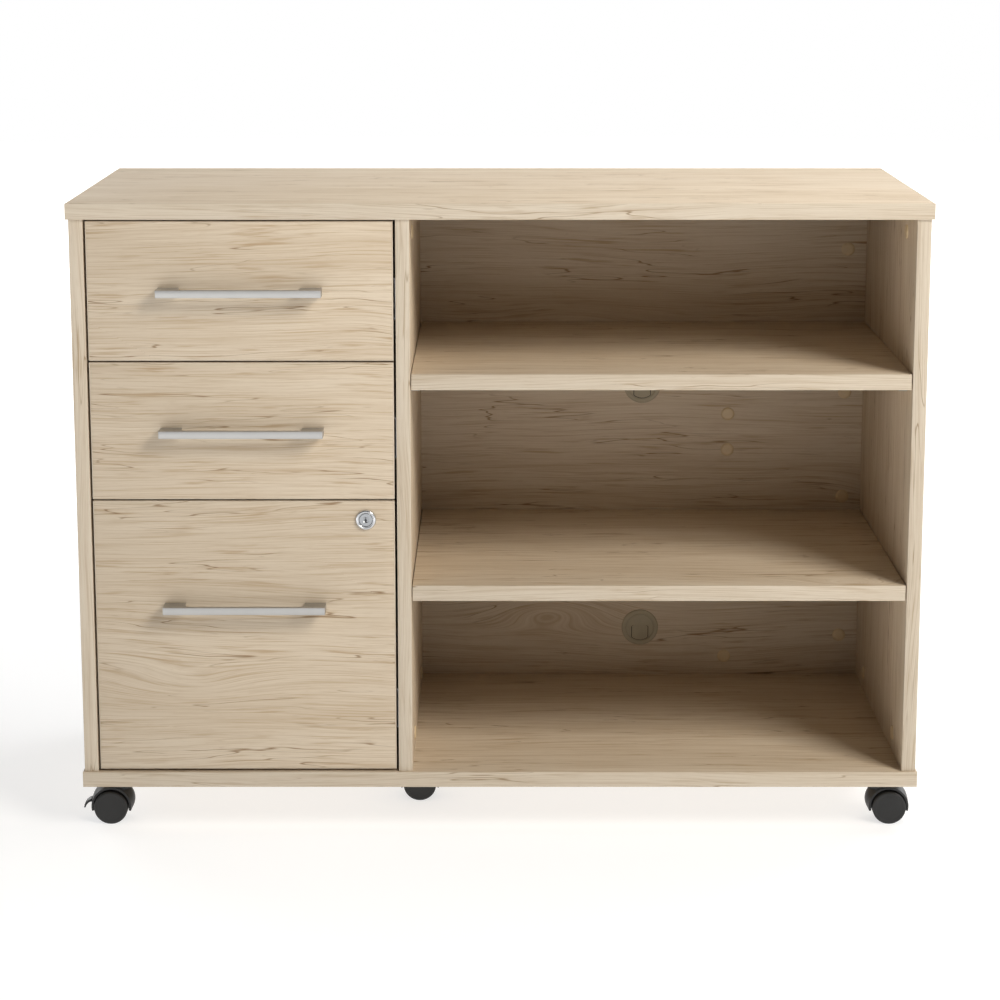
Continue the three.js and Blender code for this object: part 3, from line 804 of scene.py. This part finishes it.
def make_grommet(name):
    node = f"{name}_grommet_sleeve"
    low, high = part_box(node)
    centre = (low + high) / 2
    flap_low, flap_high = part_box(f"{name}_grommet_flap")
    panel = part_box("back_panel")[0].y
    centre.y = panel
    radius = (high.x - low.x) / 2
    face, cap = low.y - panel, flap_low.y - panel
    cap_back, tube_end = flap_high.y - panel, high.y - panel
    profile = [
        (0, cap, 0),
        (16.4 * MM, cap, 0.1 * MM),
        (16.5 * MM, cap + 1.0 * MM, 0.05 * MM),
        (17.1 * MM, cap + 1.0 * MM, 0.05 * MM),
        (17.3 * MM, face, 0.15 * MM),
        (radius - 0.6 * MM, face, 0.5 * MM),
        (radius, face + 0.9 * MM, 0.4 * MM),
        (radius, 0, 0),
        (19 * MM, 0, 0),
        (19 * MM, tube_end, 0.3 * MM),
        (17.2 * MM, tube_end, 0.3 * MM),
        (17.2 * MM, cap_back, 0),
        (0, cap_back, 0),
    ]
    sleeve = turned(filleted(profile, closed=False, steps=3), centre, Y, FINE_SEGMENTS)
    top = flap_high.z + 0.35 * MM - centre.z
    foot = centre.z - flap_low.z + 0.35 * MM
    window = plate(tab_outline(centre, top, foot, 0, 0), flap_low.y - MM, flap_high.y + MM, Y)
    ring = carved(sleeve, window)
    piece(f"{name}_grommet_ring", ring, OLIVE, "carcass", [node])

    # A black sheet behind the cap: painted shade that keeps the slits round the tab dark. The closed tab
    # rests on it.
    shade_stop_back = flap_high.y + SHADE_STOP_THICKNESS
    shade_stop_outline = tab_outline(centre, top, foot, -SHADE_STOP_REACH, -SHADE_STOP_REACH)
    shade_stop = plate(shade_stop_outline, flap_high.y + 0.02 * MM, shade_stop_back, Y)
    passage_outline = tab_outline(centre, top, foot, SHADE_STOP_REACH, SHADE_STOP_REACH)
    passage = plate(passage_outline, flap_high.y - MM, shade_stop_back + MM, Y)
    piece(f"{name}_grommet_shade_stop", carved(shade_stop, passage), BLACK, "carcass")
    outline = tab_outline(centre, top, foot, TAB_CUT, HINGE_CUT)
    tab = plate(outline, flap_low.y, flap_high.y, Y, 0.12 * MM)
    flap = f"{name}_grommet_flap"
    piece(f"{name}_grommet_tab", tab, OLIVE, flap, [flap])


# Cam caps, counted from the inner face of the right side panel and from the floor
CAP_RADIUS = 8 * MM
CAP_PROUD = 2.0 * MM
BACK_CAPS = ((22, 600), (22, 426), (22, 297), (22, 122), (163, 399), (163, 355), (163, 95))
SIDE_CAP_SETBACK = 69 * MM
SIDE_CAP_HEIGHTS = (657 * MM, 94 * MM)

SHELF_PIN_RADIUS = 2.9 * MM


def cam_cap(spot, axis, way):
    profile = [
        (0, -CAP_PROUD, 0),
        (5.8 * MM, -0.95 * CAP_PROUD, 3 * MM),
        (7.5 * MM, -0.55 * CAP_PROUD, 0.8 * MM),
        (CAP_RADIUS, 0, 0),
        (0, 0, 0),
    ]
    points = [(r, way * a) for r, a in filleted(profile, closed=False, steps=4)]
    return turned(points, spot, axis, SEGMENTS)


def make_cam_caps():
    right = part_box("right_side_panel")[0].x
    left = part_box("left_side_panel")[1].x
    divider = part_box("divider_panel")[1].x
    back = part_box("back_panel")[0].y
    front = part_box("right_side_panel")[0].y
    caps = []
    for inset, height in BACK_CAPS:
        caps.append(cam_cap((right - inset * MM, back, height * MM), Y, 1))
    piece("back_panel_cam_caps", joined(*caps), CAP, "carcass")
    for name, x, way in (("right", right, 1), ("divider", divider, -1), ("left", left, -1)):
        caps = []
        for y in (front + SIDE_CAP_SETBACK, back - SIDE_CAP_SETBACK):
            for z in SIDE_CAP_HEIGHTS:
                caps.append(cam_cap((x, y, z), X, way))
        piece(f"{name}_cam_caps", joined(*caps), CAP, "carcass")


def make_shelf_supports():
    """A pin in the panel and a tab under the shelf, four to a shelf."""
    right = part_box("right_side_panel")[0].x
    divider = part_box("divider_panel")[1].x
    for shelf in ("upper_shelf", "lower_shelf"):
        low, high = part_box(shelf)
        parts = []
        for x, way in ((divider, 1), (right, -1)):
            for y in (low.y + 37 * MM, high.y - 37 * MM):
                reach = 9 * MM
                ends = sorted((x, x + way * reach))
                tab = box((ends[0], y - 5 * MM, low.z - 1.8 * MM), (ends[1], y + 5 * MM, low.z), 0.4 * MM)
                spot = (x, y, low.z - 4.6 * MM)
                end, radius = way * reach, SHELF_PIN_RADIUS
                profile = [(0, 0, 0), (radius, 0, 0), (radius, end, 0.6 * MM), (0, end, 0)]
                pin = turned(filleted(profile, closed=False, steps=3), spot, X, SMALL_SEGMENTS)
                parts += [tab, pin]
        piece(f"{shelf}_supports", joined(*parts), ZINC, "carcass")


# ------------------------------------------------------------------ casters

CASTER_TRAIL = 12 * MM
WHEEL_RADIUS = 18.5 * MM
HOOD_RADIUS = 22.2 * MM
HOOD_INNER = 19.6 * MM
HOOD_HALF_WIDTH = 13 * MM
HOOD_TIP = math.asin(4.9 / 22.2)
HOOD_BULGE = 6.6 * MM
HOOD_WEB = 21 * MM
PLATE_HALF = 19 * MM
PLATE_SCREW = 0.74 * PLATE_HALF
PLATE_THICKNESS = 2.2 * MM
AXLE_RADIUS = 3 * MM

# The brake lever, with its pedal's curves in millimetres from the axle
ARM_HALF_WIDTH = 1.2 * MM
PEDAL_HALF_WIDTH = 6 * MM
RIB_HALF_WIDTH = 4.6 * MM
PEDAL_UPPER = ((23.2, 6.6), (29.5, 5.5), (31.6, -3.2))
PEDAL_LOWER = ((23.2, 3.4), (27.6, 2.8), (30.2, -3.8))


def hood_shell():
    """The hood over both wheels, about the axle: its back swells out towards the swivel."""
    bm = bmesh.new()
    shares = (-1, -0.985, -0.93, -0.8, -0.6, -0.4, -0.2, 0, 0.2, 0.4, 0.6, 0.8, 0.93, 0.985, 1)
    steps = 44
    loops = []
    for step in range(steps + 1):
        turn = step / steps
        angle = -HOOD_TIP + (math.pi + 2 * HOOD_TIP) * turn
        bulge = HOOD_BULGE * math.sin(math.pi * turn**1.5)
        section = []
        for share in shares:
            swell = math.cos(math.pi / 2 * share) ** 1.3 if abs(share) < 1 else 0
            lip = 0.55 * MM if abs(share) == 1 else 0.12 * MM if abs(share) > 0.98 else 0
            section.append((HOOD_RADIUS + bulge * swell - lip, share * HOOD_HALF_WIDTH))
        section += [(HOOD_INNER + 0.3 * MM, HOOD_HALF_WIDTH), (HOOD_INNER, HOOD_HALF_WIDTH - 0.4 * MM)]
        section += [(HOOD_INNER, 0.4 * MM - HOOD_HALF_WIDTH), (HOOD_INNER + 0.3 * MM, -HOOD_HALF_WIDTH)]
        spots = [(r * math.cos(angle), y, r * math.sin(angle)) for r, y in section]
        loops.append([bm.verts.new(spot) for spot in spots])
    count = len(loops[0])
    for first, second in zip(loops, loops[1:]):
        for k in range(count):
            following = (k + 1) % count
            bm.faces.new((first[k], first[following], second[following], second[k]))
    bm.faces.new(loops[0])
    bm.faces.new(loops[-1])
    return finished(bm)


def caster_hood(braked):
    swivel = (-CASTER_TRAIL, 0, 0)
    neck_profile = [
        (0, 19 * MM, 0),
        (10.6 * MM, 19 * MM, 0),
        (9.4 * MM, 25 * MM, 8 * MM),
        (7.3 * MM, 31 * MM, 8 * MM),
        (7.0 * MM, 36.2 * MM, 0.5 * MM),
        (0, 36.2 * MM, 0),
    ]
    neck = turned(filleted(neck_profile, closed=False), swivel, Z)
    angles = [math.pi * k / 32 for k in range(33)]
    web_outline = [Vector((HOOD_WEB * math.cos(t), HOOD_WEB * math.sin(t))) for t in angles]
    web = plate(web_outline, -2.4 * MM, 2.4 * MM, Y, 0.2 * MM)
    boss = cylinder(5.5 * MM, -2.6 * MM, 2.6 * MM, (0, 0, 0), Y)
    axle = cylinder(AXLE_RADIUS, -16.4 * MM, 16.4 * MM, (0, 0, 0), Y)
    shell = hood_shell()
    if braked:
        slot = box((8 * MM, -1.6 * MM, -8 * MM), (30 * MM, 1.6 * MM, 9 * MM), 0.2 * MM)
        shell = carved(shell, slot)
    return joined(shell, neck, web, boss, axle)


def caster_wheel():
    """A wheel that fills +Y from the web: smooth outer disc, rounded tread, and a plain hollow round the
    hub inside.
    """
    r = WHEEL_RADIUS
    profile = [
        (0, 17.7 * MM, 0),
        (r - 4.2 * MM, 17.7 * MM, 1 * MM),
        (r - 3.2 * MM, 18 * MM, 1 * MM),
        (r - 1.1 * MM, 18 * MM, 0.5 * MM),
        (r, 17.0 * MM, 0.6 * MM),
        (r, 3.9 * MM, 0.6 * MM),
        (r - 1.0 * MM, 3 * MM, 0.4 * MM),
        (r - 3.0 * MM, 3 * MM, 0.4 * MM),
        (r - 3.4 * MM, 7 * MM, 0.6 * MM),
        (6.4 * MM, 7 * MM, 0.6 * MM),
        (6.0 * MM, 3.2 * MM, 0.3 * MM),
        (3.3 * MM, 3.2 * MM, 0),
        (3.3 * MM, 16.7 * MM, 0),
        (0, 16.7 * MM, 0),
    ]
    return turned(filleted(profile, closed=False, steps=4), (0, 0, 0), Y, FINE_SEGMENTS)


def brake_lever():
    eye = cylinder(3 * MM, -ARM_HALF_WIDTH, ARM_HALF_WIDTH, (13 * MM, 0, MM), Y)
    arm_corners = [(13, -2, 0), (24.5, 2, 0), (24.5, 6, 0), (13, 4, 0)]
    arm_outline = filleted([(a * MM, b * MM, c) for a, b, c in arm_corners])
    arm = plate(arm_outline, -ARM_HALF_WIDTH, ARM_HALF_WIDTH, Y, 0.2 * MM)
    steps = 10
    upper, lower = [], []
    for step in range(steps + 1):
        t = step / steps
        upper.append(curve_point(*PEDAL_UPPER, t) * MM)
        lower.append(curve_point(*PEDAL_LOWER, t) * MM)
    pedal = plate(upper + lower[::-1], -PEDAL_HALF_WIDTH, PEDAL_HALF_WIDTH, Y, 0.5 * MM)
    ribs = []
    for t in (0.55, 0.7, 0.85):
        spot = curve_point(*PEDAL_UPPER, t) * MM
        profile = [
            (0, -RIB_HALF_WIDTH, 0),
            (0.45 * MM, -RIB_HALF_WIDTH, 0.2 * MM),
            (0.45 * MM, RIB_HALF_WIDTH, 0.2 * MM),
            (0, RIB_HALF_WIDTH, 0),
        ]
        rib = turned(filleted(profile, closed=False, steps=2), (spot.x, 0, spot.y), Y, 12)
        ribs.append(rib)
    return joined(eye, arm, pedal, *ribs)


def curve_point(start, bend, end, t):
    """A point of a quadratic curve."""
    start, bend, end = Vector(start), Vector(bend), Vector(end)
    return start * (1 - t) ** 2 + bend * 2 * t * (1 - t) + end * t**2


def mounting_plate(swivel):
    """A square steel plate with its swivel race and four screws, under the bottom panel."""
    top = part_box("bottom_panel")[0].z
    under = top - PLATE_THICKNESS
    quarters = ((1, 1), (-1, 1), (-1, -1), (1, -1))
    corners = [(swivel.x + a * PLATE_HALF, swivel.y + b * PLATE_HALF, 4 * MM) for a, b in quarters]
    plate_mesh = plate(filleted(corners), under, top, Z, 0.3 * MM)
    hole = cylinder(8 * MM, under - MM, top + MM, (swivel.x, swivel.y, 0), Z)
    race_profile = [
        (8 * MM, under, 0),
        (8 * MM, under - 2.4 * MM, 0.5 * MM),
        (11 * MM, under - 2.4 * MM, 0.8 * MM),
        (13 * MM, under, 0),
    ]
    race = turned(filleted(race_profile, steps=4), (swivel.x, swivel.y, 0), Z, ring=True)
    screws = []
    for a in (-1, 1):
        for b in (-1, 1):
            spot = (swivel.x + a * PLATE_SCREW, swivel.y + b * PLATE_SCREW, under)
            screws.append(screw_head(spot, Z, -1, 3.3 * MM, 1.9 * MM))
    return joined(carved(plate_mesh, hole), race, *screws)


def make_caster(name):
    wheel_low, wheel_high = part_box(f"{name}_caster_fore_wheel")
    swivel_joint = next(j for j in frame["joints"] if j["name"] == f"{name}_caster_swivel")
    swivel = Vector(swivel_joint["pos_m"])
    axle = Vector(((wheel_low.x + wheel_high.x) / 2, swivel.y, WHEEL_RADIUS))
    facing = Matrix.Identity(4) if axle.x > swivel.x else Matrix.Rotation(math.pi, 4, "Z")
    place = Matrix.Translation(axle) @ facing
    hood = moved(caster_hood(name in BRAKED), place)
    piece(f"{name}_hood", hood, BLACK, f"{name}_caster_hood", [f"{name}_caster_hood"])
    for side, way in (("fore", math.pi), ("aft", 0.0)):
        node = f"{name}_caster_{side}_wheel"
        spot = Matrix.Translation(axle) @ Matrix.Rotation(way, 4, "Z")
        piece(f"{name}_{side}_wheel", moved(caster_wheel(), spot), TREAD, node, [node])
    if name in BRAKED:
        node = f"{name}_caster_brake"
        piece(f"{name}_brake_lever", moved(brake_lever(), place), BLACK, node, [node])
    piece(f"{name}_mounting_plate", mounting_plate(swivel), ZINC, "carcass")


# ------------------------------------------------------------------ stage

EYE = Vector((0, -2.867, 0.9866))
CAMERA_TILT = math.radians(10.59)
CAMERA_LENS = 92.3
CAMERA_SHIFT = -0.10
STAGE_RADIUS = 9.0


def make_camera():
    data = bpy.data.cameras.new("camera")
    data.lens = CAMERA_LENS
    data.sensor_width = 36
    data.shift_y = CAMERA_SHIFT
    data.clip_end = 100
    camera = bpy.data.objects.new("camera", data)
    camera.location = EYE
    camera.rotation_euler = (math.pi / 2 - CAMERA_TILT, 0, 0)
    bpy.context.scene.collection.objects.link(camera)
    bpy.context.scene.camera = camera


def floor_material():
    """Pale floor: plain paint near the cabinet, and lit evenly further out so that it stays white."""
    g = Graph("floor", roughness=0.9)
    x, y, _ = g.parts(g.own_place())
    reach = g.math("SQRT", g.math("ADD", g.math("POWER", x, 2.0), g.math("POWER", y, 2.0)))
    speckle = g.noise(g.own_place(), scale=60, detail=2)
    g.plug(g.shader.inputs["Base Color"], g.mix(speckle, (0.80, 0.80, 0.80, 1), (0.82, 0.82, 0.82, 1)))
    glow = g.node("ShaderNodeEmission")
    g.plug(glow.inputs["Strength"], g.ramp(reach, 2.6, 3.6, 1.5, 1.9))
    blend = g.node("ShaderNodeMixShader")
    g.plug(blend.inputs[0], g.ramp(reach, 0.8, 1.7, 0.45, 1.0))
    g.tree.links.new(g.shader.outputs[0], blend.inputs[1])
    g.tree.links.new(glow.outputs[0], blend.inputs[2])
    output = next(n for n in g.tree.nodes if n.type == "OUTPUT_MATERIAL")
    g.tree.links.new(blend.outputs[0], output.inputs["Surface"])
    return g.material


def make_floor():
    bm = bmesh.new()
    bmesh.ops.create_circle(bm, cap_ends=True, segments=96, radius=STAGE_RADIUS)
    mesh = finished(bm)
    mesh.materials.append(floor_material())
    floor = bpy.data.objects.new("floor", mesh)
    bpy.context.scene.collection.objects.link(floor)
    floor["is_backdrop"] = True


def area_light(name, direction, distance, size, power, colour=(1, 1, 1)):
    """A square soft light that faces the cabinet's middle."""
    low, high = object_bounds()
    target = (low + high) / 2
    data = bpy.data.lights.new(name, "AREA")
    data.size = size
    data.energy = power
    data.color = colour
    lamp = bpy.data.objects.new(name, data)
    lamp.location = target + Vector(direction).normalized() * distance
    lamp.rotation_euler = (target - lamp.location).to_track_quat("-Z", "Y").to_euler()
    bpy.context.scene.collection.objects.link(lamp)


# How a world lights what reflects it: from this height to that, it goes from one level to the other
WORLD_FADE = {"from_height": 0.05, "to_height": 0.50, "level_low": 0.95, "level_high": 0.08}


def make_world(camera_level, diffuse_level):
    """White behind the cabinet, dim as a light so that hollows stay dark, and for reflections bright
    round the horizon and dark overhead, as in a studio."""
    world = bpy.data.worlds.new("studio")
    world.use_nodes = True
    tree = world.node_tree
    background = tree.nodes["Background"]
    background.inputs["Color"].default_value = (1, 1, 1, 1)
    path = tree.nodes.new("ShaderNodeLightPath")
    direction = tree.nodes.new("ShaderNodeTexCoord")
    height = tree.nodes.new("ShaderNodeSeparateXYZ")
    tree.links.new(direction.outputs["Generated"], height.inputs[0])
    reflected = tree.nodes.new("ShaderNodeMapRange")
    reflected.interpolation_type = "SMOOTHSTEP"
    for key, number in enumerate(WORLD_FADE.values(), start=1):
        reflected.inputs[key].default_value = number
    tree.links.new(height.outputs[2], reflected.inputs[0])
    unseen = tree.nodes.new("ShaderNodeMix")
    tree.links.new(path.outputs["Is Diffuse Ray"], unseen.inputs[0])
    tree.links.new(reflected.outputs[0], unseen.inputs[2])
    unseen.inputs[3].default_value = diffuse_level
    level = tree.nodes.new("ShaderNodeMix")
    tree.links.new(path.outputs["Is Camera Ray"], level.inputs[0])
    tree.links.new(unseen.outputs[0], level.inputs[2])
    level.inputs[3].default_value = camera_level
    tree.links.new(level.outputs[0], background.inputs["Strength"])
    bpy.context.scene.world = world


def make_stage():
    make_floor()
    make_world(camera_level=1.0, diffuse_level=0.035)
    area_light("key", (0.59, -0.62, 0.60), 5.0, 1.9, 172, (1.0, 0.955, 0.880))
    area_light("overhead", (0.35, 0.15, 1.0), 2.4, 1.6, 34)
    area_light("rear_left", (-0.8, 0.9, 0.45), 3.4, 1.8, 40)
    area_light("rear_right", (0.9, 0.8, 0.40), 3.4, 1.8, 30)
    bpy.context.scene.view_settings.view_transform = "Standard"


# ------------------------------------------------------------------ build

make_boards()
make_drawer_boxes()
make_lock()
make_hanging_rails()
make_cam_caps()
make_shelf_supports()
for drawer in DRAWERS:
    make_handle(drawer)
    make_slides(drawer)
for grommet in GROMMETS:
    make_grommet(grommet)
for caster in CASTERS:
    make_caster(caster)
make_stage()
make_camera()
